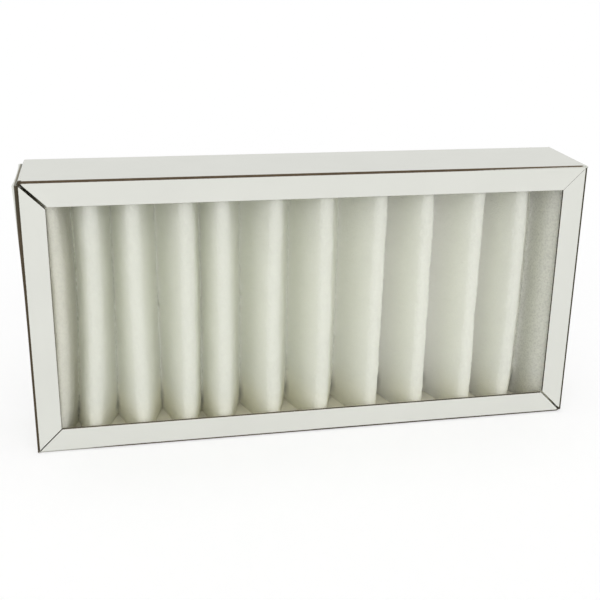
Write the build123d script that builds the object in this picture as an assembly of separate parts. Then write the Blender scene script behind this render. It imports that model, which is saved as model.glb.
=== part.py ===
"""Pleated ventilation air filter: a board frame, folded from two strips, around a pleated sheet of wadding.

X runs along the width, Y from the front face to the back and Z up. The origin lies under the centre of the
bottom wall, on the surface that the filter stands on. All sizes are in millimetres.
"""
from build123d import *
import math
import os

# Frame, overall
width = 445.0
height = 220.0
depth = 75.0
flange = 19.6               # from the outside of a wall to the free edge of its flange

# Board and folds
board = 2.0
score_depth = 1.5           # cut from outside along each flange fold, open as a square groove once folded
corner_radius = 1.6         # outside of the creased folds between walls
crease_bead = 0.8           # roll that a crease raises on the inside of its fold
groove_stop = 2.0           # the groove ends this far short of a creased fold

# Seams, where a strip's tab is glued inside the other strip's free end
tab_length = 26.0
tab_side_gap = 0.6          # from the tab's sides to the flanges beside it
seam_film = 0.3             # adhesive between tab and wall
top_left_slit = 2.4         # width of the slit between two mitred flanges
top_right_slit = 0.3
bottom_left_slit = 0.9
bottom_right_slit = 1.7
top_left_setback = 3.3      # from the top face down to the left wall's free end
bottom_right_setback = 0.8  # from the bottom face up to the right wall's free end
top_left_overrun = 1.1      # the top wall's extra length, which its tab has pushed the left wall out by

# The left wall's free end has sprung outwards
spring_out = 1.7            # lean at the free end, in the middle of the depth
spring_curl = 0.9           # how much further the two long edges lean
spring_reach = 112.0        # length of wall that leans
spring_power = 2.0          # how late along that length it leans
spring_levels = 5

# Pleated sheet
sheet = 8.0                 # thickness at its cut edges
crest_radius = 6.0          # rounded outside of each fold
fold_radius = 0.5           # pinched inside of each fold
fold_depth = 50.0           # from the crests back to the pinched folds
fold_yield = 0.6            # how much shallower a fold is where its pleats stand close
media_gap = 0.3             # from the sheet to the flanges and to the tabs
pleat_pitch = 37.5          # mean, crest to crest
valley_share = 0.47         # where each valley lies between its two crests
first_lay = 0.41            # the part pleat that starts at the left wall, against the mean pitch
hand_lay = (0.70, 0.85, 1.04, 0.76, 1.04, 1.11, 1.14, 1.05, 1.12, 1.00, 1.18)  # the others, in order

# Adhesive
bed = 1.0                   # thickness under the pleat ends
bed_margin = 1.5            # from the bed to the flanges and to the tabs
wedge_length = 20.0         # along the sheet's side edges, measured in depth
wedge_margin = 1.5          # from the wedge to the tab and to the bed
seam_glue_low = 3.0         # from the tab's end up to the seam's adhesive
seam_glue_high = 7.0        # from the tab's fold down to it
seam_glue_side = 4.0        # from the tab's sides in to it

half_width = width / 2
half_depth = depth / 2
inner_depth = half_depth - board
groove_depth = half_depth - score_depth
tab_face = -half_width + board + seam_film
tab_half = inner_depth - tab_side_gap
media_half = half_width - 2 * board - seam_film - media_gap
media_front = inner_depth - media_gap
media_base = board + bed
past = 1.0                  # cutters run this far past what they cut
diagonal = 1 / math.sqrt(2)


def prism(outline, near, far):
    """A prism along Y, from one depth to another, over an outline of (x, z) points."""
    face = make_face(Polyline(*[(x, near, z) for x, z in outline], close=True))
    return extrude(face, amount=far - near, dir=(0, 1, 0))


def beyond(x, z, normal_x, normal_z):
    """The outline that covers all on the far side of a line through a point."""
    reach = 2 * width
    along_x = -normal_z * reach
    along_z = normal_x * reach
    far_x = normal_x * reach
    far_z = normal_z * reach
    return [
        (x - along_x, z - along_z),
        (x + along_x, z + along_z),
        (x + along_x + far_x, z + along_z + far_z),
        (x - along_x + far_x, z - along_z + far_z),
    ]


def in_flanges(outline):
    """An outline carried through the layers that the front and rear flanges lie in."""
    front = prism(outline, -half_depth - past, -inner_depth)
    rear = prism(outline, inner_depth, half_depth + past)
    return front + rear


def wall_section(outside):
    """The folded board in section, as (depth, height) points: a U with a square groove at both outer corners."""
    return [
        (-groove_depth, outside),
        (groove_depth, outside),
        (groove_depth, outside - score_depth),
        (half_depth, outside - score_depth),
        (half_depth, outside - flange),
        (inner_depth, outside - flange),
        (inner_depth, outside - board),
        (-inner_depth, outside - board),
        (-inner_depth, outside - flange),
        (-half_depth, outside - flange),
        (-half_depth, outside - score_depth),
        (-groove_depth, outside - score_depth),
    ]


def long_run(seam_slit, tab_x):
    """The top wall and its flanges, mitred at the right fold and ending at the left where the tab turns down."""
    section = make_face(Polyline(*[(-half_width, y, z) for y, z in wall_section(height)], close=True))
    run = extrude(section, amount=width, dir=(1, 0, 0))
    run -= prism(beyond(half_width, height, diagonal, -diagonal), -half_depth - past, half_depth + past)
    shift = seam_slit * diagonal
    run -= in_flanges(beyond(-half_width + shift, height, -diagonal, -diagonal))
    wall_end = [
        (-half_width - past, height + past),
        (tab_x, height + past),
        (tab_x, height - board),
        (-half_width - past, height - board),
    ]
    return run - prism(wall_end, -half_depth - past, half_depth + past)


def leaning_wall(level, lean, curl):
    """One level of the sprung wall: a strip of board whose two long sides bow as a parabola over the depth."""
    sides = []
    for x, turn in ((half_width - board + lean, 1), (half_width + lean, -1)):
        sides.append(
            Bezier(
                (x + curl, -turn * groove_depth, level),
                (x - curl, 0, level),
                (x + curl, turn * groove_depth, level),
            )
        )
    ends = [Line(sides[0] @ 1, sides[1] @ 0), Line(sides[1] @ 1, sides[0] @ 0)]
    return make_face([sides[0], ends[0], sides[1], ends[1]])


def leaning_hinge(level, lean, curl, turn):
    """One level of the board's uncut layer, drawn out between a flange that stays and the wall that leans."""
    stays = half_width - board
    leans = half_width - board / 2 + lean + curl
    outline = [(stays, inner_depth), (leans, inner_depth), (leans, groove_depth), (stays, groove_depth)]
    return make_face(Polyline(*[(x, turn * y, level) for x, y in outline], close=True))


def sprung_end(setback):
    """The short wall's free end where it leans outwards, lofted through a few levels, with both hinges."""
    walls = []
    hinges = {1: [], -1: []}
    for index in range(spring_levels):
        along = index / (spring_levels - 1)
        level = setback + along * spring_reach
        share = (1 - along) ** spring_power
        walls.append(leaning_wall(level, spring_out * share, spring_curl * share))
        for turn, faces in hinges.items():
            faces.append(leaning_hinge(level, spring_out * share, spring_curl * share, turn))
    end = loft(walls)
    for faces in hinges.values():
        end += loft(faces, ruled=True)
    flat_outline = [
        (half_width - flange, 0),
        (half_width - score_depth, 0),
        (half_width - score_depth, setback + spring_reach),
        (half_width - flange, setback + spring_reach),
    ]
    for near in (-half_depth, inner_depth):
        end += prism(flat_outline, near, near + board)
    return end


def short_run(seam_slit, setback, sprung):
    """The right wall and its flanges, mitred at the top fold, with a free end at the bottom."""
    start = setback + spring_reach if sprung else 0
    section = make_face(Polyline(*[(x, y, start) for y, x in wall_section(half_width)], close=True))
    run = extrude(section, amount=height - start, dir=(0, 0, 1))
    if sprung:
        run += sprung_end(setback)
    run -= prism(beyond(half_width, height, -diagonal, diagonal), -half_depth - past, half_depth + past)
    shift = seam_slit * diagonal
    run -= in_flanges(beyond(half_width, shift, -diagonal, -diagonal))
    wall_end = [
        (half_width - board, -past),
        (half_width + past, -past),
        (half_width + past, setback),
        (half_width - board, setback),
    ]
    return run - prism(wall_end, -half_depth - past, half_depth + past)


def fold_slit(slit):
    """The slit between two flanges of one strip, from the groove at their fold to their free edges."""
    start_x = half_width - score_depth
    start_z = height - score_depth
    side = slit / 2 * diagonal
    run = 2 * flange
    outline = [
        (start_x + side, start_z - side),
        (start_x - side, start_z + side),
        (start_x - side - run, start_z + side - run),
        (start_x + side - run, start_z - side - run),
    ]
    return in_flanges(outline)


def groove_ends():
    """Quarter rounds of uncut board that close the four grooves beside the creased fold."""
    ends = []
    for turn in (-1, 1):
        y_in = turn * groove_depth
        y_out = turn * half_depth
        y_mid = turn * (groove_depth + score_depth * diagonal)
        out = score_depth
        mid = score_depth * diagonal
        x_in = half_width - score_depth
        z_in = height - score_depth
        x_cut = half_width - groove_stop
        z_cut = height - groove_stop
        along_top = make_face([
            Line((x_cut, y_in, z_in), (x_cut, y_in, z_in + out)),
            ThreePointArc((x_cut, y_in, z_in + out), (x_cut, y_mid, z_in + mid), (x_cut, y_out, z_in)),
            Line((x_cut, y_out, z_in), (x_cut, y_in, z_in)),
        ])
        down_side = make_face([
            Line((x_in, y_in, z_cut), (x_in + out, y_in, z_cut)),
            ThreePointArc((x_in + out, y_in, z_cut), (x_in + mid, y_mid, z_cut), (x_in, y_out, z_cut)),
            Line((x_in, y_out, z_cut), (x_in, y_in, z_cut)),
        ])
        ends.append(extrude(along_top, amount=groove_stop, dir=(1, 0, 0)))
        ends.append(extrude(down_side, amount=groove_stop, dir=(0, 0, 1)))
    return ends


def corner_waste(corner_x, inward):
    """What rounding takes off a top corner: all of its square that lies outside a quarter circle."""
    y = -half_depth - past
    centre_x = corner_x + inward * corner_radius
    centre_z = height - corner_radius
    reach = corner_radius * diagonal
    low = (corner_x, y, centre_z)
    high = (centre_x, y, height)
    middle = (centre_x - inward * reach, y, centre_z + reach)
    outer = [(corner_x - inward * past, y, centre_z), (corner_x - inward * past, y, height + past)]
    over = (centre_x, y, height + past)
    face = make_face([Polyline(low, outer[0], outer[1], over, high), ThreePointArc(high, middle, low)])
    return extrude(face, amount=depth + 2 * past, dir=(0, 1, 0))


def crease(x, half_length):
    """The roll along the inside of a creased fold."""
    bead = Cylinder(crease_bead, 2 * half_length, rotation=(90, 0, 0))
    return Pos(x, 0, height - board) * bead


def board_strip(seam_slit, fold_slit_width, end_slit, setback, tab_x, sprung):
    """One folded strip as the upper one lies: top wall, right wall, four flanges and the tab at the left."""
    strip = long_run(seam_slit, tab_x) + short_run(end_slit, setback, sprung)
    for end in groove_ends():
        strip += end
    strip -= fold_slit(fold_slit_width)
    tab = Box(board, 2 * tab_half, tab_length, align=(Align.MIN, Align.CENTER, Align.MAX))
    strip += Pos(tab_x, 0, height) * tab
    strip -= corner_waste(half_width, -1)
    strip -= corner_waste(tab_x, 1)
    strip += crease(half_width - board, inner_depth)
    strip += crease(tab_x + board, tab_half)
    return strip


def turned(shape):
    """A shape given half a turn about the line through the middle of the frame, front to back."""
    return Pos(0, 0, height) * Rot(0, 180, 0) * shape


def pleat_places():
    """The mean pitch, and the x of the left cut edge, of each crest and valley in turn, and of the right edge."""
    span = 2 * (media_half - sheet / 2)
    count = max(2, round(span / pleat_pitch - first_lay))
    lays = [hand_lay[index % len(hand_lay)] for index in range(count)]
    pitch = span / (first_lay + sum(lays))
    places = [-span / 2]
    crest = -span / 2 + first_lay * pitch
    for lay in lays:
        places += [crest, crest + valley_share * lay * pitch]
        crest += lay * pitch
    return pitch, places + [crest]


def skin_stations(facing):
    """What one face of the sheet passes round: (x, y, radius), with the radius positive at the crests.

    facing is 1 for the front face and -1 for the back one. A face goes round the outside of every other fold
    in a wide arc and into the folds between in a pinched one. The two cut edges are as wide as the sheet.
    """
    pitch, places = pleat_places()
    wide = places[1:-1:2] if facing > 0 else places[0::2]
    rooms = [(after - before) / pitch for before, after in zip(wide, wide[1:])]
    rooms.append(rooms[-1])
    edge_y = media_front - sheet / 2
    stations = [(places[0], edge_y, facing * sheet / 2)]
    for index, x in enumerate(places[1:-1]):
        turn = 1 if index % 2 == 0 else -1
        if turn == facing:
            y = -facing * (media_front - crest_radius)
            stations.append((x, y, turn * crest_radius))
        else:
            depth_here = fold_depth * min(1, rooms[index // 2] ** fold_yield)
            y = facing * (depth_here - fold_radius - media_front)
            stations.append((x, y, turn * fold_radius))
    stations.append((places[-1], -edge_y, facing * sheet / 2))
    return stations


def flanks(stations):
    """The straight runs of one face: each start, end and direction, tangent to the rounds that it joins."""
    runs = []
    for (x_a, y_a, radius_a), (x_b, y_b, radius_b) in zip(stations, stations[1:]):
        offset = radius_b - radius_a
        step = Vector(x_b - x_a, y_b - y_a)
        length = math.sqrt(step.length ** 2 - offset ** 2)
        angle = math.atan2(step.Y, step.X) - math.atan2(offset, length)
        along = Vector(math.cos(angle), math.sin(angle))
        right = Vector(along.Y, -along.X)
        runs.append((Vector(x_a, y_a) + right * radius_a, Vector(x_b, y_b) + right * radius_b, along))
    return runs


def skin(stations, runs):
    """One face of the sheet in plan: its flanks, joined by tangent arcs."""
    edges = []
    for index, (start, end, along) in enumerate(runs):
        edges.append(Line(start, end))
        if index + 1 < len(runs):
            radius = stations[index + 1][2]
            turn = math.copysign(1, radius)
            after = runs[index + 1][2]
            turned_by = turn * (math.atan2(after.Y, after.X) - math.atan2(along.Y, along.X))
            degrees = turn * math.degrees(turned_by % (2 * math.pi))
            edges.append(JernArc(end, along, abs(radius), degrees))
    return edges


def pleated_sheet(front, back):
    """The wadding: one sheet in rounded pleats, from the left wall at the back to the right wall at the front."""
    ends = [Line(front[0] @ 0, back[0] @ 0), Line(front[-1] @ 1, back[-1] @ 1)]
    face = make_face(front + back + ends)
    return Pos(0, 0, media_base) * extrude(face, amount=height - 2 * media_base, dir=(0, 0, 1))


def edge_wedge(edge, into_sheet, wall_x, low, high):
    """The adhesive between a side wall and the outer face of the flank that ends beside it."""
    far = edge + into_sheet * (wedge_length / abs(into_sheet.Y))
    outline = [(wall_x, edge.Y), (edge.X, edge.Y), (far.X, far.Y), (wall_x, far.Y)]
    face = make_face(Polyline(*[(x, y, low) for x, y in outline], close=True))
    return extrude(face, amount=high - low, dir=(0, 0, 1))


def glue_bed(base):
    """The adhesive on the inside of a long wall, which the pleat ends stand in."""
    length = 2 * (media_half + media_gap - bed_margin)
    block = Box(length, 2 * (inner_depth - bed_margin), bed, align=(Align.CENTER, Align.CENTER, Align.MIN))
    return Pos(0, 0, base) * block


def seam_glue(outer_strip, tab_x):
    """The adhesive on the outside of the upper strip's tab, out to the wall that the tab lies against."""
    reach = seam_film + spring_out + spring_curl + 2 * board
    length = tab_length - seam_glue_low - seam_glue_high
    block = Box(reach, 2 * (tab_half - seam_glue_side), length, align=(Align.MAX, Align.CENTER, Align.MAX))
    pieces = Pos(tab_x, 0, height - seam_glue_high) * block - outer_strip
    return pieces.solids().sort_by(Axis.X)[-1]


top_left_tab = tab_face - top_left_overrun
upper = board_strip(
    top_left_slit, top_right_slit, bottom_right_slit, bottom_right_setback, top_left_tab, False
)
lower = turned(
    board_strip(bottom_right_slit, bottom_left_slit, top_left_slit, top_left_setback, tab_face, True)
)
front_stations = skin_stations(1)
back_stations = skin_stations(-1)
front_runs = flanks(front_stations)
back_runs = flanks(back_stations)
left_edge, _, left_along = front_runs[0]
_, right_edge, right_along = back_runs[-1]
wall_inside = half_width - board
tab_end = tab_length + wedge_margin
bed_end = media_base + wedge_margin

parts = {
    "frame_strip_upper": upper,
    "frame_strip_lower": lower,
    "filter_media": pleated_sheet(skin(front_stations, front_runs), skin(back_stations, back_runs)),
    "glue_bed_bottom": glue_bed(board),
    "glue_bed_top": glue_bed(height - media_base),
    "glue_wedge_left": edge_wedge(left_edge, left_along, -wall_inside, bed_end, height - tab_end),
    "glue_wedge_right": edge_wedge(right_edge, -right_along, wall_inside, tab_end, height - bed_end),
    "seam_glue_top_left": seam_glue(lower, top_left_tab),
    "seam_glue_bottom_right": turned(seam_glue(turned(upper), tab_face)),
}

os.makedirs("parts", exist_ok=True)
for name, shape in parts.items():
    export_step(shape, f"parts/{name}.step")
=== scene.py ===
"""Looks of a pleated ventilation air filter: the finishes of its board frame and adhesive, and its wadding.

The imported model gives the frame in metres: X along the width, Y from the front face to the back, Z up from
the surface that the filter stands on.
"""
from types import SimpleNamespace

import bpy
import numpy as np
from bpy.props import FloatProperty, FloatVectorProperty, IntProperty, PointerProperty
from bpy.types import Operator, Panel, PropertyGroup
from mathutils import Matrix, Vector


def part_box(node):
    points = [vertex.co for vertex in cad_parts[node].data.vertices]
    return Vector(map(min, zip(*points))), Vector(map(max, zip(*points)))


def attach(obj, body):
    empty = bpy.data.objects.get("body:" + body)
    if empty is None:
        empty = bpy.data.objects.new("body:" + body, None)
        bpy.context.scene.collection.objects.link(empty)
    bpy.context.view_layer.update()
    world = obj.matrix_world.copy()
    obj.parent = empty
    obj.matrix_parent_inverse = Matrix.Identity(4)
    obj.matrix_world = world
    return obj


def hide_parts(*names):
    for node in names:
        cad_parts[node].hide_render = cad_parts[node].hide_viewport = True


bl_info = {
    "name": "Pleated Air Filter",
    "version": (1, 0, 0),
    "blender": (4, 5, 0),
    "location": "3D View > Sidebar > Air Filter",
    "description": "Makes the wadding and the finishes of a board-framed ventilation air filter",
    "category": "Object",
}

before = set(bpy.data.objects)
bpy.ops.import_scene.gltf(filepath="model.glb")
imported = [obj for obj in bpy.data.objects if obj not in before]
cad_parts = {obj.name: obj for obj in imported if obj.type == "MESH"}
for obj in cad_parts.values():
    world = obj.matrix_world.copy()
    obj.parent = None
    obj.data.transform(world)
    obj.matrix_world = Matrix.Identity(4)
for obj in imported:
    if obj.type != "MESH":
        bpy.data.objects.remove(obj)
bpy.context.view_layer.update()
media_low, media_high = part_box("filter_media")
CRESTS = 11
MILLIMETRES = 1000.0     # in a metre: the board's marks are worked out in millimetres
WHITE = (1, 1, 1, 1)

# Random fields that make the wadding's surface uneven: height and size of each, in metres
SWELLS = ((0.00014, 0.045), (0.00007, 0.016), (0.00009, 0.0065), (0.00009, 0.004))

# Broad studio lights: place, share of the plain level, and spread in degrees
LAMPS = {
    "Left Light": ((-1.0, -1.9, 0.42), 0.265, 60),
    "Right Light": ((0.6, -1.9, 0.42), 0.222, 60),
    "Overhead Light": ((0.0, -0.2, 2.0), 0.31, 70),
}
FLOOR_HALF = 8.0         # metres from the middle of the floor to its edges


def srgb(red, green, blue):
    """A display colour, 0 to 255, as the linear colour that a shader takes."""
    shares = (value / 255 for value in (red, green, blue))
    return tuple(s / 12.92 if s <= 0.04045 else ((s + 0.055) / 1.055) ** 2.4 for s in shares)


class BoardSettings(PropertyGroup):
    """Sizes and colours of the folded board."""
    thickness: FloatProperty(
        name="Thickness", description="Thickness of the board", default=0.002, min=0.0005, unit="LENGTH"
    )
    score_depth: FloatProperty(
        name="Score depth", description="Depth of the cut along each flange fold", default=0.0015,
        unit="LENGTH",
    )
    groove_stop: FloatProperty(
        name="Groove stop", description="How far short of a tight fold the cuts end", default=0.002,
        unit="LENGTH",
    )
    flange: FloatProperty(
        name="Flange", description="Width of the flanges", default=0.0196, unit="LENGTH"
    )
    width: FloatProperty(name="Width", description="Width of the frame", default=0.445, unit="LENGTH")
    height: FloatProperty(name="Height", description="Height of the frame", default=0.220, unit="LENGTH")
    depth: FloatProperty(name="Depth", description="Depth of the frame", default=0.075, unit="LENGTH")
    coat: FloatVectorProperty(
        name="Coat", description="Colour of the white coat", subtype="COLOR", default=srgb(213, 214, 207)
    )
    core: FloatVectorProperty(
        name="Core", description="Colour of the cut board", subtype="COLOR", default=srgb(94, 80, 62)
    )
    # Painted shade: dark olive mixed over the cut core on the sides, bottom, seam tips and high left band
    cut_shade: FloatVectorProperty(
        name="Olive", description="Colour of chipped and shaded board", subtype="COLOR",
        default=srgb(52, 50, 36),
    )
    wall_end: FloatVectorProperty(
        name="Wall end", description="Colour of the cut ends of the side walls", subtype="COLOR",
        default=srgb(150, 147, 134),
    )


class WaddingSettings(PropertyGroup):
    """The pleated sheet's own section and the lie of its pleats."""
    thickness: FloatProperty(
        name="Thickness", description="Thickness of the wadding at its cut edges", default=0.008, min=0.001,
        unit="LENGTH",
    )
    crest_radius: FloatProperty(
        name="Crest radius", description="Radius of the rounded outside of each fold", default=0.006,
        unit="LENGTH",
    )
    fold_radius: FloatProperty(
        name="Fold radius", description="Radius of the pinched inside of each fold", default=0.0005,
        unit="LENGTH",
    )
    fold_yield: FloatProperty(
        name="Fold yield", description="How much shallower a fold is where its pleats stand close",
        default=0.9,
    )
    pinch_reach: FloatProperty(
        name="Pinch reach", description="How far the dense wadding of a fold reaches", default=0.004,
        unit="LENGTH",
    )
    fold_depth: FloatProperty(
        name="Fold depth", description="From the crests back to the pinched folds", default=0.050,
        unit="LENGTH",
    )
    valley_share: FloatProperty(
        name="Valley share", description="Where a valley lies between its two crests", default=0.47,
        min=0.2, max=0.8, subtype="FACTOR",
    )
    first_lay: FloatProperty(
        name="First lay", description="Width of the part pleat at the left wall, in pitches", default=0.41
    )
    lays: FloatVectorProperty(
        name="Lays", description="Width of each pleat, in pitches", size=CRESTS,
        default=(0.70, 0.85, 1.04, 0.76, 1.04, 1.11, 1.14, 1.05, 1.12, 1.00, 1.18),
    )
    leans: FloatVectorProperty(
        name="Leans", description="How far each crest leans to the right at the top", size=CRESTS,
        unit="LENGTH",
        default=(
            0.0015, 0.0028, -0.0011, 0.0006, 0.0001, 0.0011, 0.0006, 0.0015, 0.0007, 0.0006, 0.0013
        ),
    )
    bows: FloatVectorProperty(
        name="Bows", description="How far each crest bows to the right at both ends", size=CRESTS,
        unit="LENGTH",
        default=(
            -0.0044, -0.0025, 0.0008, -0.0006, -0.0006, 0.0015, -0.0011, 0.0, -0.0001, 0.0012, -0.0016
        ),
    )
    foot_reach: FloatProperty(
        name="Foot reach", description="How far from its glued edges the sheet is drawn in", default=0.009,
        unit="LENGTH",
    )
    foot_narrowing: FloatProperty(
        name="Foot narrowing", description="How much tighter the crests are at the glued edges",
        default=0.42, subtype="FACTOR",
    )
    foot_setback: FloatProperty(
        name="Foot setback", description="How far the crests draw back at the glued edges", default=0.0012,
        unit="LENGTH",
    )
    foot_shadow: FloatProperty(
        name="Foot shadow", description="How dark the folds are just clear of the glued edges",
        default=0.45, subtype="FACTOR",
    )
    foot_opening: FloatProperty(
        name="Foot opening", description="How much deeper the folds are at the glued edges", default=0.007,
        unit="LENGTH",
    )
    end_fold: FloatProperty(
        name="End fold", description="Depth of the last fold, as a share of the others", default=0.7,
        subtype="FACTOR",
    )
    end_bulge: FloatProperty(
        name="End bulge", description="How far the last flank bulges to the front", default=0.0075,
        unit="LENGTH",
    )
    rows: IntProperty(name="Rows", description="Levels of the surface's grid", default=140, min=8)
    flank_columns: IntProperty(
        name="Flank columns", description="Grid columns on each flank", default=7, min=3
    )
    bend_columns: IntProperty(
        name="Bend columns", description="Grid columns round each bend", default=8, min=4
    )
    colour: FloatVectorProperty(
        name="Colour", description="Colour of the wadding", subtype="COLOR", default=srgb(251, 252, 244)
    )
    shade: FloatVectorProperty(
        name="Shade", description="Colour of its denser places", subtype="COLOR",
        default=srgb(240, 241, 234),
    )
    # Painted light: lighter and warmer at the foot, for light bounced up from the floor, and at both ends
    warm_lit: FloatVectorProperty(
        name="Warm", description="Colour at the foot and at both ends", subtype="COLOR",
        default=srgb(254, 253, 240),
    )
    # Painted light: lighter and more neutral deep between the pleats on the right
    deep: FloatVectorProperty(
        name="Deep", description="Colour deep between the flat pleats on the right", subtype="COLOR",
        default=srgb(251, 251, 247),
    )
    tuck_shade: FloatProperty(
        name="Tuck shade", description="How dark the wadding is where it goes in behind the left flange",
        default=0.55, subtype="FACTOR",
    )
    translucence: FloatProperty(
        name="Translucence", description="Share of the light that passes on through the fibres",
        default=0.48, min=0.0, max=1.0, subtype="FACTOR",
    )
    # Painted shade in the pinched folds: how strong it is, and the olive colour it mixes towards
    crease_shade: FloatProperty(
        name="Crease shade", description="How dark the pinched folds are", default=0.2, subtype="FACTOR"
    )
    crease_shading: FloatVectorProperty(
        name="Crease", description="Colour that the pinched folds tend to", subtype="COLOR",
        default=srgb(137, 138, 80),
    )
    loose_from: FloatProperty(
        name="Loose from", description="Where the looser fibres of the last flank begin, in x",
        default=0.176, unit="LENGTH",
    )
    # The gaps between the loose fibres: partly their own mottling, partly painted shade
    loose_shade: FloatProperty(
        name="Loose shade", description="How dark the gaps between the looser fibres are", default=0.26,
        subtype="FACTOR",
    )


class AdhesiveSettings(PropertyGroup):
    """The milky adhesive."""
    colour: FloatVectorProperty(
        name="Colour", description="Colour of the adhesive", subtype="COLOR", default=srgb(248, 245, 229)
    )


class StageSettings(PropertyGroup):
    """Floor, light and camera."""
    floor: FloatVectorProperty(
        name="Floor", description="Colour of the floor", subtype="COLOR", default=(0.9, 0.9, 0.9)
    )
    sky: FloatProperty(name="Sky", description="Strength of the even light from all round", default=0.58)
    lens: FloatProperty(name="Lens", description="Focal length in millimetres", default=60.139)
    shift: FloatVectorProperty(
        name="Shift", description="Shift of the camera's frame", size=2, default=(-0.0406, -0.0161)
    )
    camera_place: FloatVectorProperty(
        name="Camera", description="Place of the camera", size=3, subtype="TRANSLATION", unit="LENGTH",
        default=(-0.1559, -0.76916, 0.39623),
    )
    camera_right: FloatVectorProperty(
        name="Camera right", description="Direction to the right in the picture", size=3,
        subtype="DIRECTION", default=(0.97767, -0.20906, 0.02155),
    )
    camera_view: FloatVectorProperty(
        name="Camera view", description="Direction that the camera looks in", size=3, subtype="DIRECTION",
        default=(0.20379, 0.91792, -0.34043),
    )


def add_node(tree, kind, inputs=None, **settings):
    """Adds a shader node, sets its settings, and fills its inputs from numbers or other nodes' sockets."""
    made = tree.nodes.new(kind)
    for name, value in settings.items():
        setattr(made, name, value)
    for key, value in (inputs or {}).items():
        if isinstance(value, bpy.types.NodeSocket):
            tree.links.new(value, made.inputs[key])
        else:
            made.inputs[key].default_value = value
    return made


def maths(tree, operation, *values):
    """The result of one Math node."""
    return add_node(tree, "ShaderNodeMath", dict(enumerate(values)), operation=operation).outputs[0]


def product(tree, first, *others):
    """All the values multiplied together."""
    for value in others:
        first = maths(tree, "MULTIPLY", first, value)
    return first


def greatest(tree, first, *others):
    """The greatest of the values."""
    for value in others:
        first = maths(tree, "MAXIMUM", first, value)
    return first


def rest_of(tree, value):
    """What the value leaves of 1."""
    return maths(tree, "SUBTRACT", 1.0, value)


def line(tree, value, slope, start):
    """The value times a slope, plus a start."""
    return maths(tree, "MULTIPLY_ADD", value, slope, start)


def eased(tree, value, start, end):
    """0 at start and 1 at end, eased between the two."""
    return add_node(
        tree, "ShaderNodeMapRange", {"Value": value, "From Min": start, "From Max": end},
        interpolation_type="SMOOTHSTEP",
    ).outputs["Result"]


def below(tree, value, limit, softness):
    """1 where the value lies under the limit, falling softly to 0 over it."""
    ramp = add_node(
        tree, "ShaderNodeMapRange",
        {"Value": maths(tree, "SUBTRACT", value, limit), "From Min": -softness, "From Max": softness,
         "To Min": 1.0, "To Max": 0.0},
        interpolation_type="SMOOTHSTEP",
    )
    return ramp.outputs["Result"]


def mix_colours(tree, factor, first, second):
    """Two colours mixed by a factor. A Mix node's colours are its inputs 6 and 7 and its output 2."""
    made = add_node(tree, "ShaderNodeMix", data_type="RGBA")
    for index, value in ((0, factor), (6, first), (7, second)):
        if isinstance(value, bpy.types.NodeSocket):
            tree.links.new(value, made.inputs[index])
        else:
            made.inputs[index].default_value = value if index == 0 else (*value, 1.0)
    return made.outputs[2]


def new_group(name, inputs, outputs):
    """An empty node group: inputs as (name, kind, default or None), outputs as (name, kind)."""
    group = bpy.data.node_groups.new(name, "ShaderNodeTree")
    for label, kind, default in inputs:
        socket = group.interface.new_socket(name=label, in_out="INPUT", socket_type=kind)
        if default is not None:
            socket.default_value = default
    for label, kind in outputs:
        group.interface.new_socket(name=label, in_out="OUTPUT", socket_type=kind)
    return group, group.nodes.new("NodeGroupInput").outputs, group.nodes.new("NodeGroupOutput").inputs


def fibre_web_group():
    """Loose fibres: thin curving ridges, and the cloudy speckle of thin and dense places.

    The ridges' pattern is pushed about by a slower noise, so that they curve. Size is their size in
    millimetres.
    """
    pushing, cloudy = 0.35, 0.45    # scales of the pushing noise and of the speckle, in the ridges' scale
    push = 0.0022                   # metres
    group, given, out = new_group(
        "Fibre Web",
        [("Vector", "NodeSocketVector", None), ("Size", "NodeSocketFloat", 0.8)],
        [("Ridges", "NodeSocketFloat"), ("Speckle", "NodeSocketFloat")],
    )
    scale = maths(group, "DIVIDE", MILLIMETRES, given["Size"])
    bent = add_node(
        group, "ShaderNodeTexNoise",
        {"Vector": given["Vector"], "Scale": product(group, scale, pushing), "Detail": 2.0},
    )
    centred = add_node(
        group, "ShaderNodeVectorMath", {0: bent.outputs["Color"], 1: (0.5, 0.5, 0.5)}, operation="SUBTRACT"
    )
    pushed = add_node(
        group, "ShaderNodeVectorMath",
        {0: centred.outputs[0], 1: (push, push, push), 2: given["Vector"]}, operation="MULTIPLY_ADD",
    )
    ridges = add_node(
        group, "ShaderNodeTexNoise",
        {"Vector": pushed.outputs[0], "Scale": scale, "Detail": 3.0, "Roughness": 0.55, "Lacunarity": 2.1,
         "Offset": 1.0, "Gain": 1.2},
        noise_type="RIDGED_MULTIFRACTAL",
    )
    speckle = add_node(
        group, "ShaderNodeTexNoise",
        {"Vector": given["Vector"], "Scale": product(group, scale, cloudy), "Detail": 4.0,
         "Roughness": 0.62},
    )
    group.links.new(ridges.outputs["Fac"], out["Ridges"])
    group.links.new(speckle.outputs["Fac"], out["Speckle"])
    return group


def clouds_group():
    """Slow uneven patches, from 0 to 1. Size is in metres."""
    group, given, out = new_group(
        "Soft Clouds",
        [("Vector", "NodeSocketVector", None), ("Size", "NodeSocketFloat", 0.03),
         ("Contrast", "NodeSocketFloat", 1.0)],
        [("Mask", "NodeSocketFloat")],
    )
    noise = add_node(
        group, "ShaderNodeTexNoise",
        {"Vector": given["Vector"], "Scale": maths(group, "DIVIDE", 1.0, given["Size"]), "Detail": 3.0},
    )
    centred = maths(group, "SUBTRACT", noise.outputs["Fac"], 0.5)
    spread = maths(group, "ADD", product(group, centred, given["Contrast"]), 0.5)
    clamped = add_node(group, "ShaderNodeClamp", {"Value": spread})
    group.links.new(clamped.outputs[0], out["Mask"])
    return group


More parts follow.
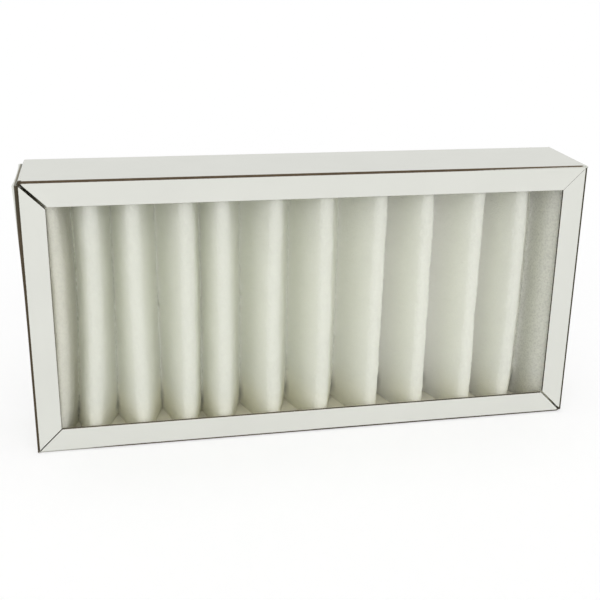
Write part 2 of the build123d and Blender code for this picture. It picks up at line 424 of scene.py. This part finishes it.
def start_material(name):
    """A material with one Principled shader, its Object coordinates and its tree."""
    material = bpy.data.materials.new(name)
    material.use_nodes = True
    tree = material.node_tree
    tree.nodes.clear()
    shader = add_node(tree, "ShaderNodeBsdfPrincipled")
    output = add_node(tree, "ShaderNodeOutputMaterial")
    tree.links.new(shader.outputs[0], output.inputs["Surface"])
    place = add_node(tree, "ShaderNodeTexCoord")
    return material, tree, shader, place


def fibre_web(tree, place, size):
    """The fibre web's ridges and speckle over an object. size is in millimetres."""
    group = bpy.data.node_groups.get("Fibre Web") or fibre_web_group()
    inputs = {"Vector": place.outputs["Object"], "Size": size}
    return add_node(tree, "ShaderNodeGroup", inputs, node_tree=group).outputs


def soft_clouds(tree, place, size, contrast):
    """The mask of the soft clouds over an object. size is in metres."""
    group = bpy.data.node_groups.get("Soft Clouds") or clouds_group()
    inputs = {"Vector": place.outputs["Object"], "Size": size, "Contrast": contrast}
    return add_node(tree, "ShaderNodeGroup", inputs, node_tree=group).outputs["Mask"]


def board_places(tree, place, settings):
    """Where a point of the frame lies, in millimetres, and masks of the frame's parts.

    side and above are measured inwards from the nearer side and from the top, level from the nearer of the
    top and the bottom, inset from the nearest of all four, and depth_in from the nearer open face. in_line
    is 0 on the wall end that has sprung out past the side, and 1 elsewhere.
    """
    sprung_out = 1.1
    point = add_node(
        tree, "ShaderNodeVectorMath", {0: place.outputs["Object"], 3: MILLIMETRES}, operation="SCALE"
    ).outputs[0]
    x, y, z = add_node(tree, "ShaderNodeSeparateXYZ", {0: point}).outputs
    side = maths(tree, "SUBTRACT", settings.width / 2 * MILLIMETRES, maths(tree, "ABSOLUTE", x))
    above = maths(tree, "SUBTRACT", settings.height * MILLIMETRES, z)
    level = maths(tree, "MINIMUM", z, above)
    low = maths(tree, "LESS_THAN", z, above)
    right = maths(tree, "GREATER_THAN", x, 0.0)
    return SimpleNamespace(
        point=point, x=x, y=y, z=z, side=side, above=above, level=level, low=low, right=right,
        inset=maths(tree, "MINIMUM", side, level),
        depth_in=maths(tree, "SUBTRACT", settings.depth / 2 * MILLIMETRES, maths(tree, "ABSOLUTE", y)),
        on_side=maths(tree, "LESS_THAN", side, level),
        in_line=below(tree, product(tree, side, -1.0), sprung_out, 0.4),
    )


def groove_mask(tree, at, uneven, sides_and_bottom, settings):
    """The cut along each flange fold: ragged outwards, wider on the sides and bottom, more so on the right.

    It ends short of the tight fold at the top right, more so on the top than on the side. It narrows along
    the top towards that fold, and along the bottom towards the one at the lower left, where it is faint.
    """
    margin, fray_share, soft = 0.10, 1.6, 0.06
    widening, widening_more_right = 0.3, 0.2
    top_narrowing, low_narrowing, low_fading = -0.5, -0.8, -0.6
    stop_less_on_side, stop_soft = -0.6, 1.5
    narrow_from, narrow_to = 100.0, 215.0
    faint_from, faint_to = -150.0, -222.0
    ragged = maths(tree, "MAXIMUM", uneven, 0.0)
    width = line(tree, ragged, fray_share, settings.score_depth * MILLIMETRES + margin)
    stop = product(
        tree, line(tree, at.on_side, stop_less_on_side, 1.0), 2.0 * settings.groove_stop * MILLIMETRES
    )
    from_fold = maths(tree, "MAXIMUM", at.side, at.above)
    stopped = product(tree, at.right, below(tree, from_fold, stop, stop_soft))
    closing = product(tree, rest_of(tree, sides_and_bottom), eased(tree, at.x, narrow_from, narrow_to))
    faint = product(tree, at.low, eased(tree, at.x, faint_from, faint_to), rest_of(tree, at.on_side))
    narrowed = line(tree, closing, top_narrowing, product(tree, faint, low_narrowing))
    widened = line(tree, sides_and_bottom, line(tree, at.right, widening_more_right, widening), width)
    return product(
        tree, below(tree, at.inset, maths(tree, "ADD", widened, narrowed), soft),
        below(tree, at.depth_in, width, soft), rest_of(tree, stopped), line(tree, faint, low_fading, 1.0),
        at.in_line,
    )


def free_edge_mask(tree, at, uneven, settings):
    """The cut edges of the flanges round the opening."""
    margin, soft, fray_share = 0.06, 0.05, 0.6
    to_edge = maths(tree, "SUBTRACT", settings.flange * MILLIMETRES - margin, at.inset)
    return product(
        tree, below(tree, to_edge, product(tree, uneven, fray_share), soft),
        below(tree, at.depth_in, settings.thickness * MILLIMETRES + margin, soft),
    )


def mitre_mask(tree, at, normal, settings):
    """The cut faces of the mitres, which slant between sideways and upright. The tight one hardly shows."""
    slanted, margin, soft, hidden_when_tight = 0.3, 0.05, 0.02, -0.8
    across = maths(tree, "ABSOLUTE", product(tree, normal["X"], normal["Z"]))
    tight = product(tree, at.right, rest_of(tree, at.low))
    return product(
        tree, maths(tree, "GREATER_THAN", across, slanted), line(tree, tight, hidden_when_tight, 1.0),
        maths(tree, "GREATER_THAN", at.inset, settings.score_depth * MILLIMETRES),
        below(tree, at.depth_in, settings.thickness * MILLIMETRES + margin, soft),
    )


def wall_end_mask(tree, at, normal, settings):
    """The cut ends of the side walls at the glued seams, which face up or down just inside the corners."""
    flat, board_share, nearest, farthest = 0.9, 0.45, 0.3, 4.0
    return product(
        tree, maths(tree, "GREATER_THAN", maths(tree, "ABSOLUTE", normal["Z"]), flat),
        maths(tree, "LESS_THAN", at.side, board_share * settings.thickness * MILLIMETRES), at.in_line,
        maths(tree, "GREATER_THAN", at.level, nearest), maths(tree, "LESS_THAN", at.level, farthest),
    )


def tip_mask(tree, at):
    """Front tips of the two glued-seam corners, upper left and lower right: cut core with painted shade."""
    reach, soft, deep, deep_soft = 4.2, 0.8, 4.0, 0.6
    seam_side = product(tree, at.x, maths(tree, "SUBTRACT", at.above, at.z))
    return product(
        tree, maths(tree, "GREATER_THAN", seam_side, 0.0), maths(tree, "LESS_THAN", at.y, 0.0),
        below(tree, maths(tree, "MAXIMUM", at.side, at.level), reach, soft),
        below(tree, at.depth_in, deep, deep_soft), at.in_line,
    )


def core_colour(tree, at, streaks, sides_and_bottom, tip, wall_end, settings):
    """Brown board in dark and light plies, with painted shade in olive, and grey at the wall ends."""
    darkest, lightest = 0.45, 1.5
    shade_left, shade_more_right, shade_high_left, shade_tip = 0.45, 0.35, 0.7, 0.5
    high_from, high_to = 150.0, 205.0
    wall_end_share = 0.6
    dark = tuple(darkest * value for value in settings.core)
    light = tuple(min(1.0, lightest * value) for value in settings.core)
    high_left = product(tree, rest_of(tree, at.right), eased(tree, at.z, high_from, high_to))
    # Painted shade: dark olive over the cut core on the sides and bottom, high left band and seam tips
    cut_shade = greatest(
        tree, product(tree, sides_and_bottom, line(tree, at.right, shade_more_right, shade_left)),
        product(tree, high_left, at.on_side, shade_high_left), product(tree, tip, shade_tip),
    )
    cut_shade = product(tree, cut_shade, rest_of(tree, wall_end))
    core = mix_colours(tree, cut_shade, mix_colours(tree, streaks, dark, light), tuple(settings.cut_shade))
    return mix_colours(tree, product(tree, wall_end, wall_end_share), core, tuple(settings.wall_end))


def board_material(settings):
    """White coated board whose cut faces show a brown core: fold grooves, edges, mitres and strip ends."""
    fray_height, bottom_share = 0.42, 0.7
    coat_dullest, coat_rough, core_rough = 0.955, 0.46, 0.92
    coat_relief, core_relief = 0.35, 3.0
    material, tree, shader, place = start_material("Coated Board")
    at = board_places(tree, place, settings)
    normal = add_node(tree, "ShaderNodeSeparateXYZ", {0: place.outputs["Normal"]}).outputs
    fray = add_node(
        tree, "ShaderNodeTexNoise", {"Vector": at.point, "Scale": 0.9, "Detail": 3.0, "Roughness": 0.7}
    ).outputs["Fac"]
    uneven = product(tree, maths(tree, "SUBTRACT", fray, 0.5), fray_height)
    # 1 on the side walls, 0.7 on the bottom: wider grooves, and painted shade over their cut core
    sides_and_bottom = greatest(tree, at.on_side, product(tree, at.low, bottom_share))
    wall_end = wall_end_mask(tree, at, normal, settings)
    tip = tip_mask(tree, at)
    cut = greatest(
        tree, groove_mask(tree, at, uneven, sides_and_bottom, settings), free_edge_mask(tree, at, uneven, settings),
        mitre_mask(tree, at, normal, settings), wall_end, tip,
    )

    plies = add_node(tree, "ShaderNodeMapping", {"Vector": at.point, "Scale": (0.25, 2.6, 0.25)}).outputs[0]
    streaks = add_node(
        tree, "ShaderNodeTexNoise", {"Vector": plies, "Scale": 1.0, "Detail": 4.0, "Roughness": 0.7}
    ).outputs["Fac"]
    core = core_colour(tree, at, streaks, sides_and_bottom, tip, wall_end, settings)
    clouds = soft_clouds(tree, place, 0.05, 1.6)
    dull = tuple(coat_dullest * value for value in settings.coat)
    coat = mix_colours(tree, clouds, dull, tuple(settings.coat))
    tree.links.new(mix_colours(tree, cut, coat, core), shader.inputs["Base Color"])

    roughness = add_node(
        tree, "ShaderNodeMapRange", {"Value": cut, "To Min": coat_rough, "To Max": core_rough}
    ).outputs["Result"]
    tree.links.new(roughness, shader.inputs["Roughness"])
    speckle = fibre_web(tree, place, 0.9)["Speckle"]
    relief = line(tree, speckle, coat_relief, product(tree, streaks, cut, core_relief))
    bump = add_node(tree, "ShaderNodeBump", {"Height": relief, "Strength": 0.35, "Distance": 0.0001})
    tree.links.new(bump.outputs[0], shader.inputs["Normal"])
    shader.inputs["Specular IOR Level"].default_value = 0.4
    return material


def wadding_colour(tree, place, web, pinch, settings):
    """The wadding's colour: denser patches, with painted light and painted shade.

    Painted light makes the foot and both ends lighter and warmer, and the deep valleys on the right lighter.
    Painted shade darkens the creases, the gaps of the loose fibres, the folds just clear of the glued edges
    and the wadding where it goes in behind the left flange. The last flank and, less so, the first have
    looser fibres, whose gaps are partly their own mottling. The last fold, which lies open to view, has a
    broad painted shade in its crease, and the others a thin one, stronger on the left, where the folds are
    seen straight on.
    """
    last_ends, first_starts, first_ends = 0.006, 0.008, 0.016
    first_looseness = 0.35
    tucked_from, tucked_to = -0.2018, -0.2036
    speckle_share, cloud_share = 0.4, 0.2
    straight_from, straight_to, crease_more, crease_least = -0.14, -0.182, 1.2, 0.9
    thin, broad, last_crease = 40.0, 4.0, 0.3
    gap_level, gap_contrast = 0.56, 3.2
    shade_share = 0.25
    foot_from, foot_to = 0.045, 0.01
    first_lit_warmth, last_lit_warmth = 0.8, 0.2
    deep_from, deep_to, right_from, right_to = -0.022, 0.008, 0.0, 0.1
    x, y, z = add_node(tree, "ShaderNodeSeparateXYZ", {0: place.outputs["Object"]}).outputs
    grit = fibre_web(tree, place, 0.8)["Speckle"]
    clouds = soft_clouds(tree, place, 0.014, 1.4)
    last = eased(tree, x, settings.loose_from, settings.loose_from + last_ends)
    first = eased(tree, x, -settings.loose_from - first_starts, -settings.loose_from - first_ends)

    dense = product(tree, maths(tree, "ADD", web["Speckle"], grit), speckle_share)
    patches = line(tree, clouds, cloud_share, dense)
    plain = mix_colours(tree, patches, tuple(settings.shade), tuple(settings.colour))
    # Painted light: lighter, warmer at the foot (light bounced off the floor) and on both end flanks
    ends = greatest(tree, product(tree, first, first_lit_warmth), product(tree, last, last_lit_warmth))
    warm_painted_light = greatest(tree, eased(tree, z, foot_from, foot_to), ends)
    warm_lit_colour = mix_colours(tree, warm_painted_light, plain, tuple(settings.warm_lit))
    # Painted light: lighter and more neutral deep between the pleats on the right
    deep = product(tree, eased(tree, y, deep_from, deep_to), eased(tree, x, right_from, right_to))
    deep_lightened = mix_colours(tree, deep, warm_lit_colour, tuple(settings.deep))

    # Painted shade: a thin line in every pinched fold, stronger on the left, and a broad one in the last
    straight_on = line(tree, eased(tree, x, straight_from, straight_to), crease_more, crease_least)
    crease_shading = greatest(
        tree, product(tree, maths(tree, "POWER", pinch, thin), settings.crease_shade, straight_on),
        product(tree, maths(tree, "POWER", pinch, broad), last, last_crease),
    )
    crease_shaded_colour = mix_colours(tree, crease_shading, deep_lightened, tuple(settings.crease_shading))

    # Gaps between the loose fibres: partly their own mottling, partly painted shade
    gaps = product(tree, maths(tree, "SUBTRACT", gap_level, grit), gap_contrast)
    gaps = add_node(tree, "ShaderNodeClamp", {"Value": gaps}).outputs[0]
    loose = line(tree, first, first_looseness, last)
    foot = add_node(tree, "ShaderNodeAttribute", attribute_name="foot").outputs["Fac"]
    # Painted shade over the gaps, in the folds just clear of the glued edges and behind the left flange
    shade_and_mottle = greatest(
        tree, product(tree, gaps, loose, settings.loose_shade),
        product(tree, pinch, foot, settings.foot_shadow),
        product(tree, eased(tree, x, tucked_from, tucked_to), settings.tuck_shade),
    )
    warm_shade_colour = tuple(shade_share * value for value in settings.warm_lit)
    plain_shade_colour = tuple(shade_share * value for value in settings.colour)
    return mix_colours(tree, shade_and_mottle, crease_shaded_colour, mix_colours(tree, last, warm_shade_colour, plain_shade_colour))


def wadding_material(settings):
    """Thick nonwoven wadding: matt off-white fibres, thin and dense places, light that soaks through."""
    speckle_relief, ridge_relief = 1.6, 0.35
    material, tree, shader, place = start_material("Wadding")
    web = fibre_web(tree, place, 1.5)
    pinch = add_node(tree, "ShaderNodeAttribute", attribute_name="pinch").outputs["Fac"]
    colour = wadding_colour(tree, place, web, pinch, settings)
    tree.links.new(colour, shader.inputs["Base Color"])
    relief = line(tree, web["Speckle"], speckle_relief, product(tree, web["Ridges"], ridge_relief))
    bump = add_node(tree, "ShaderNodeBump", {"Height": relief, "Strength": 0.5, "Distance": 0.0009})
    tree.links.new(bump.outputs[0], shader.inputs["Normal"])
    shader.inputs["Roughness"].default_value = 0.95
    shader.inputs["Specular IOR Level"].default_value = 0.15
    through = add_node(tree, "ShaderNodeBsdfTranslucent", {"Color": colour, "Normal": bump.outputs[0]})
    share = line(tree, pinch, -settings.translucence, settings.translucence)
    soft = add_node(tree, "ShaderNodeMixShader", {0: share, 1: shader.outputs[0], 2: through.outputs[0]})
    tree.links.new(soft.outputs[0], tree.nodes["Material Output"].inputs["Surface"])
    return material


def adhesive_material(settings):
    """Milky adhesive, a little glossy, with slow ripples."""
    dullest = 0.9
    material, tree, shader, place = start_material("Milky Adhesive")
    clouds = soft_clouds(tree, place, 0.008, 1.5)
    dull = tuple(dullest * value for value in settings.colour)
    tree.links.new(mix_colours(tree, clouds, dull, tuple(settings.colour)), shader.inputs["Base Color"])
    bump = add_node(tree, "ShaderNodeBump", {"Height": clouds, "Strength": 0.4, "Distance": 0.0006})
    tree.links.new(bump.outputs[0], shader.inputs["Normal"])
    shader.inputs["Roughness"].default_value = 0.4
    return material


def finish_nodes(names, material):
    """Gives CAD nodes a material."""
    for name in names:
        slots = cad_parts[name].data.materials
        slots.clear()
        slots.append(material)


def skin_stations(settings, facing, foot):
    """What one skin of the sheet passes round: x of each centre, and at each level its y and signed radius.

    Crests and valleys take turns. Their x come from the lays, in mean pitches, laid end to end. Outside a
    fold the skin is a wide arc at the face of the frame, with a positive radius on the front skin. Inside it
    is a pinched one at the fold depth, which is less where the pleats stand close. The first and last
    centres stand for the cut edges, which are as wide as the sheet is thick. facing is 1 for the front skin
    and -1 for the back one. foot is 1 at the glued edges and falls to 0 away from them: there the wide
    arcs are tighter and set back, and the pinched ones deeper.
    """
    half = settings.thickness / 2
    span = media_high.x - media_low.x - settings.thickness
    lays = np.array(settings.lays)
    pitch = span / (settings.first_lay + lays.sum())
    crest_x = -span / 2 + pitch * (settings.first_lay + np.concatenate([[0.0], np.cumsum(lays)]))
    crest, valley = slice(1, -1, 2), slice(2, -1, 2)
    x = np.zeros(2 * CRESTS + 2)
    y = np.zeros((len(foot), len(x)))
    radius = np.zeros_like(y)
    x[0] = -span / 2
    x[crest] = crest_x[:-1]
    x[valley] = crest_x[:-1] + settings.valley_share * lays * pitch
    x[-1] = crest_x[-1]
    wide, pinched = (crest, valley) if facing > 0 else (valley, crest)
    spread = np.diff(x[wide] if facing > 0 else x[0::2]) / pitch
    room = np.concatenate([spread, spread[-1:]])[:CRESTS]
    depth = settings.fold_depth * np.minimum(room ** settings.fold_yield, 1.0)
    depth[-1] *= settings.end_fold if facing > 0 else 1.0
    rounding = settings.crest_radius * (1 - settings.foot_narrowing * foot)[:, None]
    setback = (settings.foot_setback * foot)[:, None]
    opening = (settings.foot_opening * foot)[:, None]
    y[:, wide] = -facing * (media_high.y - rounding - setback)
    y[:, pinched] = facing * (media_low.y + depth + opening - settings.fold_radius)
    y[:, 0] = media_high.y - half
    y[:, -1] = media_low.y + half
    radius[:, wide] = facing * rounding
    radius[:, pinched] = -facing * settings.fold_radius
    radius[:, 0] = radius[:, -1] = facing * half
    return x, y, radius


def lean_of(settings, x, share):
    """How far each centre moves in x at each level: by a lean times the height and a bow times its square.

    share is the height, from -1 at the bottom to 1 at the top. A valley moves by the mean of its crests.
    """
    crest_shift = np.outer(share, settings.leans) + np.outer(share ** 2, settings.bows)
    shift = np.zeros((len(share), len(x)))
    shift[:, 1:-1:2] = crest_shift
    shift[:, 2:-2:2] = (crest_shift[:, 1:] + crest_shift[:, :-1]) / 2
    shift[:, -2] = crest_shift[:, -1] / 2
    return shift


def route_columns(settings, x, y, radius):
    """Points on one skin, and the unit vector to the right of its route there, by level and column.

    Between two centres runs a straight flank, tangent to both arcs: its direction is the line of centres
    turned by the angle whose sine is the difference of the signed radii over the distance. Round a centre
    the direction turns evenly, and the point is the centre plus the signed radius times the vector to the
    right, which is to the front. The last flank also bulges to its right, by half a sine wave with its top
    two thirds of the way along.
    """
    bulge_power = 1.6
    step_x = np.diff(x, axis=1)
    step_y = np.diff(y, axis=1)
    angle = np.arctan2(step_y, step_x) - np.arcsin(np.diff(radius, axis=1) / np.hypot(step_x, step_y))
    along = np.stack([np.cos(angle), np.sin(angle)], axis=-1)
    right = np.stack([along[..., 1], -along[..., 0]], axis=-1)
    centre = np.stack([x, y], axis=-1)
    signed = radius[..., None]
    start = centre[:, :-1] + right * signed[:, :-1]
    end = centre[:, 1:] + right * signed[:, 1:]

    flank = np.linspace(0, 1, settings.flank_columns + 1)[1:-1]
    flank_points = start[:, :, None] + (end - start)[:, :, None] * flank[None, None, :, None]
    bulge = settings.end_bulge * np.sin(np.pi * flank ** bulge_power)[None, :, None]
    flank_points[:, -1] += right[:, -1, None] * bulge
    flank_right = np.broadcast_to(right[:, :, None], flank_points.shape)

    inner = np.sign(radius[:, 1:-1])
    turned = (inner * np.diff(angle, axis=1)) % (2 * np.pi) * inner
    bend = np.linspace(0, 1, settings.bend_columns + 1)
    theta = angle[:, :-1, None] + turned[:, :, None] * bend
    bend_right = np.stack([np.sin(theta), -np.cos(theta)], axis=-1)
    bend_points = centre[:, 1:-1, None] + bend_right * signed[:, 1:-1, None]

    levels = x.shape[0]
    points = np.concatenate([flank_points[:, :-1], bend_points], axis=2).reshape(levels, -1, 2)
    sides = np.concatenate([flank_right[:, :-1], bend_right], axis=2).reshape(levels, -1, 2)
    points = np.concatenate([start[:, :1], points, flank_points[:, -1], end[:, -1:]], axis=1)
    sides = np.concatenate([right[:, :1], sides, flank_right[:, -1], right[:, -1:]], axis=1)
    return points, sides


def waves(rng, across, up, size, count=40):
    """A smooth random field over the sheet: plane waves of about one size, in all directions, added up."""
    shortest, longest = 0.7, 1.5
    heading = rng.uniform(0, 2 * np.pi, count)
    rate = 2 * np.pi / (size * rng.uniform(shortest, longest, count))
    phase = rng.uniform(0, 2 * np.pi, count)
    total = np.zeros(np.broadcast(across, up).shape)
    for turn, pace, start in zip(heading, rate, phase):
        total += np.cos(pace * (across * np.cos(turn) + up * np.sin(turn)) + start)
    return total / np.sqrt(count / 2)


def closed_grid(front, back):
    """Points and faces of a closed sheet: two skins, grids of one size, joined along all four edges."""
    rows, columns = front.shape[:2]
    index = np.arange(rows * 2 * columns).reshape(rows, 2 * columns)
    points = np.concatenate([front, back[:, ::-1]], axis=1).reshape(-1, 3)
    ring = np.concatenate([index, index[:, :1]], axis=1)
    walls = np.stack([ring[:-1, :-1], ring[:-1, 1:], ring[1:, 1:], ring[1:, :-1]], axis=-1).reshape(-1, 4)
    first, after = slice(0, columns - 1), slice(1, columns)
    near, far = index[0], index[0, ::-1]
    bottom = np.stack([near[after], near[first], far[first], far[after]], axis=-1)
    near, far = index[-1], index[-1, ::-1]
    top = np.stack([near[first], near[after], far[after], far[first]], axis=-1)
    return points, np.concatenate([walls, bottom, top])


def new_piece(name, points, faces, material, smooth=True):
    """A mesh object at the origin, from arrays of points and of quads."""
    mesh = bpy.data.meshes.new(name)
    mesh.vertices.add(len(points))
    mesh.vertices.foreach_set("co", points.astype(np.float32).ravel())
    corners = faces.shape[1]
    mesh.loops.add(faces.size)
    mesh.loops.foreach_set("vertex_index", faces.astype(np.int32).ravel())
    mesh.polygons.add(len(faces))
    mesh.polygons.foreach_set("loop_start", np.arange(0, faces.size, corners, dtype=np.int32))
    mesh.polygons.foreach_set("loop_total", np.full(len(faces), corners, dtype=np.int32))
    mesh.polygons.foreach_set("use_smooth", np.full(len(faces), smooth))
    mesh.update(calc_edges=True)
    mesh.validate()
    mesh.materials.append(material)
    piece = bpy.data.objects.new(name, mesh)
    bpy.context.scene.collection.objects.link(piece)
    return piece


def sheet_skins(settings):
    """Front and back skins of the pleated sheet, as grids of points over the levels and along the route.

    Each skin is moved along its own normal by the sum of random fields, from slow swells to small lumps.
    Two more values come with the points: the pinch, a bell curve of the distance along the route from the
    nearest pinched fold, and the foot, a bell curve of the height clear of the nearer glued edge.
    """
    shadow_clearance = 1.5      # of the foot's reach
    level = np.linspace(0, 1, settings.rows)
    tall = media_high.z - media_low.z
    up = (media_low.z + level * tall)[:, None]
    clear = np.minimum(level, 1 - level) * tall
    foot = np.exp(-clear / settings.foot_reach)
    per_fold = settings.flank_columns + settings.bend_columns
    middles = np.arange(2 * CRESTS) * per_fold + settings.flank_columns + settings.bend_columns // 2
    rng = np.random.default_rng(11)
    skins = []
    pinches = []
    for facing in (1, -1):
        x, y, radius = skin_stations(settings, facing, foot)
        points, sides = route_columns(settings, x + lean_of(settings, x, 2 * level - 1), y, radius)
        steps = np.linalg.norm(np.diff(points, axis=1), axis=2)
        along = np.concatenate([np.zeros((len(level), 1)), np.cumsum(steps, axis=1)], axis=1)
        raised = sum(height * waves(rng, along, up, size) for height, size in SWELLS)
        flat = points + sides * (facing * raised[..., None])
        skins.append(np.concatenate([flat, np.broadcast_to(up[..., None], (*raised.shape, 1))], axis=-1))
        pinched = middles[1::2] if facing > 0 else middles[0::2]
        reach = np.abs(along[:, :, None] - along[:, pinched][:, None, :]).min(axis=2)
        pinches.append(np.exp(-(reach / settings.pinch_reach) ** 2))
    shadow = np.exp(-(clear / settings.foot_reach - shadow_clearance) ** 2)
    return skins, pinches, np.repeat(shadow, 2 * pinches[0].shape[1])


class FILTER_OT_board(Operator):
    """Finishes the two folded board strips: white coat, brown core in the grooves and on every cut edge"""
    bl_idname = "air_filter.board"
    bl_label = "Board frame"

    def execute(self, context):
        material = board_material(context.scene.filter_board)
        finish_nodes(("frame_strip_upper", "frame_strip_lower"), material)
        return {"FINISHED"}


class FILTER_OT_adhesive(Operator):
    """Finishes the adhesive under the pleat ends, at the sheet's side edges and in the two seams"""
    bl_idname = "air_filter.adhesive"
    bl_label = "Adhesive"

    def execute(self, context):
        material = adhesive_material(context.scene.filter_adhesive)
        glued = [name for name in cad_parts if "glue" in name]
        if len(glued) != 6:
            raise RuntimeError("the model should have six adhesive nodes")
        finish_nodes(glued, material)
        return {"FINISHED"}


class FILTER_OT_wadding(Operator):
    """Makes the pleated wadding as one closed sheet, folded in rounded pleats"""
    bl_idname = "air_filter.wadding"
    bl_label = "Pleated wadding"

    def execute(self, context):
        settings = context.scene.filter_wadding
        (front, back), (front_pinch, back_pinch), foot = sheet_skins(settings)
        points, faces = closed_grid(front, back)
        wadding = new_piece("pleated_wadding", points, faces, wadding_material(settings))
        pinch = np.concatenate([front_pinch, back_pinch[:, ::-1]], axis=1)
        # pinch and foot also place the painted shade in the folds and just clear of the glued edges
        for name, values in (("pinch", pinch.ravel()), ("foot", foot)):
            wadding.data.attributes.new(name, "FLOAT", "POINT").data.foreach_set("value", values)
        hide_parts("filter_media")
        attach(wadding, "root")
        return {"FINISHED"}


def aim(target_right, target_view):
    """The rotation of a camera that looks along one direction, with another to its right."""
    view = Vector(target_view).normalized()
    right = Vector(target_right).normalized()
    up = right.cross(view).normalized()
    return Matrix((right, up, -view)).transposed()


def seen_rays(tree):
    """1 for the rays that see the surroundings: from the camera, off gloss and through clear pieces."""
    rays = add_node(tree, "ShaderNodeLightPath")
    return maths(
        tree, "MAXIMUM", rays.outputs["Is Camera Ray"],
        maths(tree, "MAXIMUM", rays.outputs["Is Glossy Ray"], rays.outputs["Is Transmission Ray"]),
    )


def floor_material(settings):
    """A pale matt floor. The camera and mirror-like rays see it lighter, so that it ends in white."""
    half_glowing = 0.5
    material, tree, shader, _ = start_material("Studio Floor")
    shader.inputs["Roughness"].default_value = 1.0
    shader.inputs["Specular IOR Level"].default_value = 0.0
    shader.inputs["Base Color"].default_value = (*settings.floor, 1.0)
    glow = add_node(tree, "ShaderNodeEmission", {"Color": WHITE, "Strength": 1.0})
    lit = add_node(tree, "ShaderNodeBsdfDiffuse", {"Color": WHITE})
    seen = add_node(tree, "ShaderNodeMixShader", {0: half_glowing, 1: glow.outputs[0], 2: lit.outputs[0]})
    last = add_node(
        tree, "ShaderNodeMixShader", {0: seen_rays(tree), 1: shader.outputs[0], 2: seen.outputs[0]}
    )
    tree.links.new(last.outputs[0], tree.nodes["Material Output"].inputs["Surface"])
    return material


def white_for_camera(tree, plain):
    """The world's shader: plain light for the object, white for the camera, glossy and clear rays."""
    white = add_node(tree, "ShaderNodeBackground", {"Color": WHITE, "Strength": 1.0})
    return add_node(
        tree, "ShaderNodeMixShader", {0: seen_rays(tree), 1: plain, 2: white.outputs[0]}
    ).outputs[0]


def add_lamp(name, place, share, spread):
    """A broad even light from one side: its share of the plain level, on a surface that faces it."""
    lamp = bpy.data.lights.new(name, "SUN")
    lamp.angle = np.radians(spread)
    lamp.energy = share * np.pi
    holder = bpy.data.objects.new(name, lamp)
    holder.location = place
    holder.rotation_euler = (-Vector(place)).to_track_quat("-Z", "Y").to_euler()
    bpy.context.scene.collection.objects.link(holder)


class FILTER_OT_stage(Operator):
    """Sets the floor, the even studio light, the white surroundings and the camera"""
    bl_idname = "air_filter.stage"
    bl_label = "Studio"

    def execute(self, context):
        settings = context.scene.filter_stage
        corners = FLOOR_HALF * np.array([(-1, -1, 0), (1, -1, 0), (1, 1, 0), (-1, 1, 0)])
        square = np.array([[0, 1, 2, 3]])
        floor = new_piece("studio_floor", corners, square, floor_material(settings), smooth=False)

        world = bpy.data.worlds.new("Studio World")
        world.use_nodes = True
        tree = world.node_tree
        tree.nodes.clear()
        plain = add_node(tree, "ShaderNodeBackground", {"Color": WHITE, "Strength": settings.sky})
        output = add_node(tree, "ShaderNodeOutputWorld")
        tree.links.new(white_for_camera(tree, plain.outputs[0]), output.inputs["Surface"])
        context.scene.world = world

        for name, (place, share, spread) in LAMPS.items():
            add_lamp(name, place, share, spread)

        camera = bpy.data.cameras.new("Camera")
        camera.lens = settings.lens
        camera.sensor_width = 36.0
        camera.shift_x, camera.shift_y = settings.shift
        camera.clip_start = 0.01
        camera.clip_end = 50.0
        holder = bpy.data.objects.new("Camera", camera)
        turn = aim(settings.camera_right, settings.camera_view).to_4x4()
        holder.matrix_world = Matrix.Translation(settings.camera_place) @ turn
        bpy.context.scene.collection.objects.link(holder)
        context.scene.camera = holder
        context.scene.view_settings.view_transform = "Standard"
        return {"FINISHED"}


class FILTER_PT_sidebar(Panel):
    """Buttons for each piece of the filter"""
    bl_label = "Air Filter"
    bl_idname = "FILTER_PT_sidebar"
    bl_space_type = "VIEW_3D"
    bl_region_type = "UI"
    bl_category = "Air Filter"

    def draw(self, context):
        for operator in OPERATORS:
            self.layout.operator(operator.bl_idname)


OPERATORS = (FILTER_OT_stage, FILTER_OT_board, FILTER_OT_adhesive, FILTER_OT_wadding)
SETTINGS = {
    "filter_board": BoardSettings,
    "filter_wadding": WaddingSettings,
    "filter_adhesive": AdhesiveSettings,
    "filter_stage": StageSettings,
}
CLASSES = (*SETTINGS.values(), *OPERATORS, FILTER_PT_sidebar)


def register():
    for item in CLASSES:
        bpy.utils.register_class(item)
    for name, group in SETTINGS.items():
        setattr(bpy.types.Scene, name, PointerProperty(type=group))


def unregister():
    for name in SETTINGS:
        delattr(bpy.types.Scene, name)
    for item in reversed(CLASSES):
        bpy.utils.unregister_class(item)


def main():
    register()
    bpy.ops.air_filter.stage()
    bpy.ops.air_filter.board()
    bpy.ops.air_filter.adhesive()
    bpy.ops.air_filter.wadding()


if __name__ == "__main__":
    main()
